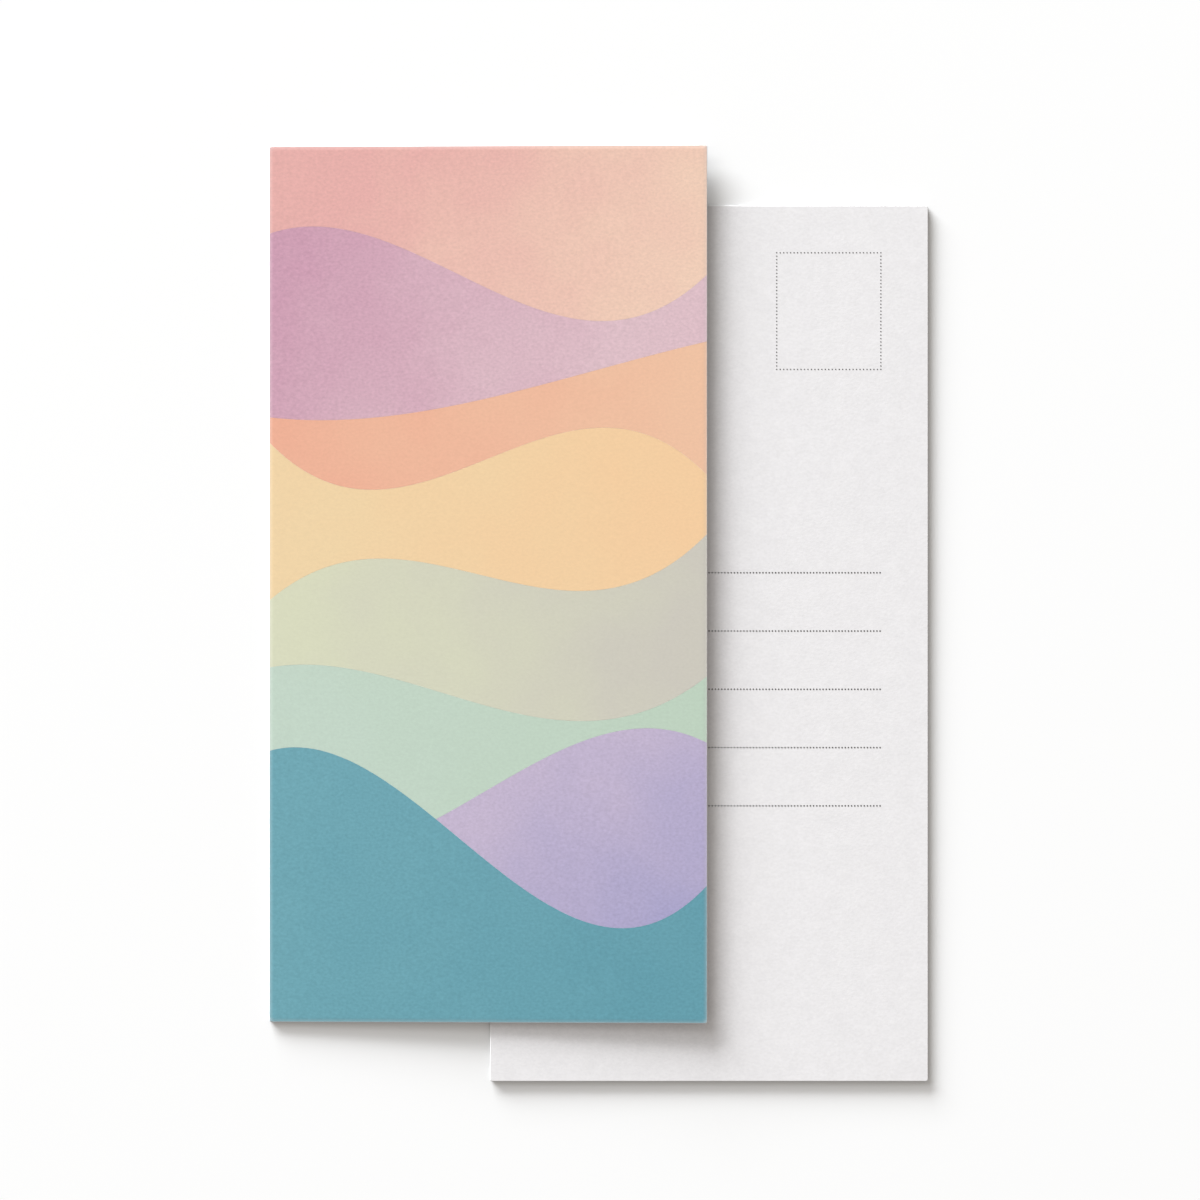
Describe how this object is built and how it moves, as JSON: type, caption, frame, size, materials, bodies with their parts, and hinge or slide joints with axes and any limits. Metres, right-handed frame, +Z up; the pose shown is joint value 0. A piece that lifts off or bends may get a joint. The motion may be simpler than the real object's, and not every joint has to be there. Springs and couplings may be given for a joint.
{
  "type": "postcard",
  "caption": "Portrait picture postcards of pasted paper plies, one lying picture side up across one that shows its address side with a stamp frame and ruled lines",
  "frame": {"origin": "On the table, under the middle of the pair's outline", "axes": "+Z up from the table, +Y towards the cards' top edges, +X to the right in the picture"},
  "size_m": [0.158, 0.2242, 0.0025],
  "materials": {
    "white_paper": "matte",
    "core_board": "matte",
    "grey_ink": "matte",
    "teal_ink": "matte",
    "lilac_ink": "matte",
    "mint_ink": "matte",
    "sage_ink": "matte",
    "honey_ink": "matte",
    "apricot_ink": "matte",
    "mauve_ink": "matte",
    "rose_ink": "matte"
  },
  "bodies": {
    "lower_card": {"lower_address_sheet": "white_paper", "lower_core_board": "core_board", "lower_picture_sheet": "white_paper", "lower_stamp_frame_print": "grey_ink", "lower_address_rules_print": "grey_ink", "lower_teal_print": "teal_ink", "lower_lilac_print": "lilac_ink", "lower_mint_print": "mint_ink", "lower_sage_print": "sage_ink", "lower_honey_print": "honey_ink", "lower_apricot_print": "apricot_ink", "lower_mauve_print": "mauve_ink", "lower_rose_print": "rose_ink"},
    "upper_card": {"upper_address_sheet": "white_paper", "upper_core_board": "core_board", "upper_picture_sheet": "white_paper", "upper_stamp_frame_print": "grey_ink", "upper_address_rules_print": "grey_ink", "upper_teal_print": "teal_ink", "upper_lilac_print": "lilac_ink", "upper_mint_print": "mint_ink", "upper_sage_print": "sage_ink", "upper_honey_print": "honey_ink", "upper_apricot_print": "apricot_ink", "upper_mauve_print": "mauve_ink", "upper_rose_print": "rose_ink"}
  },
  "joints": [
    {"name": "upper_card_lift", "type": "slide", "parent": "lower_card", "child": "upper_card", "axis": [0, 0, 1], "range_m": [0, 0.06]}
  ]
}
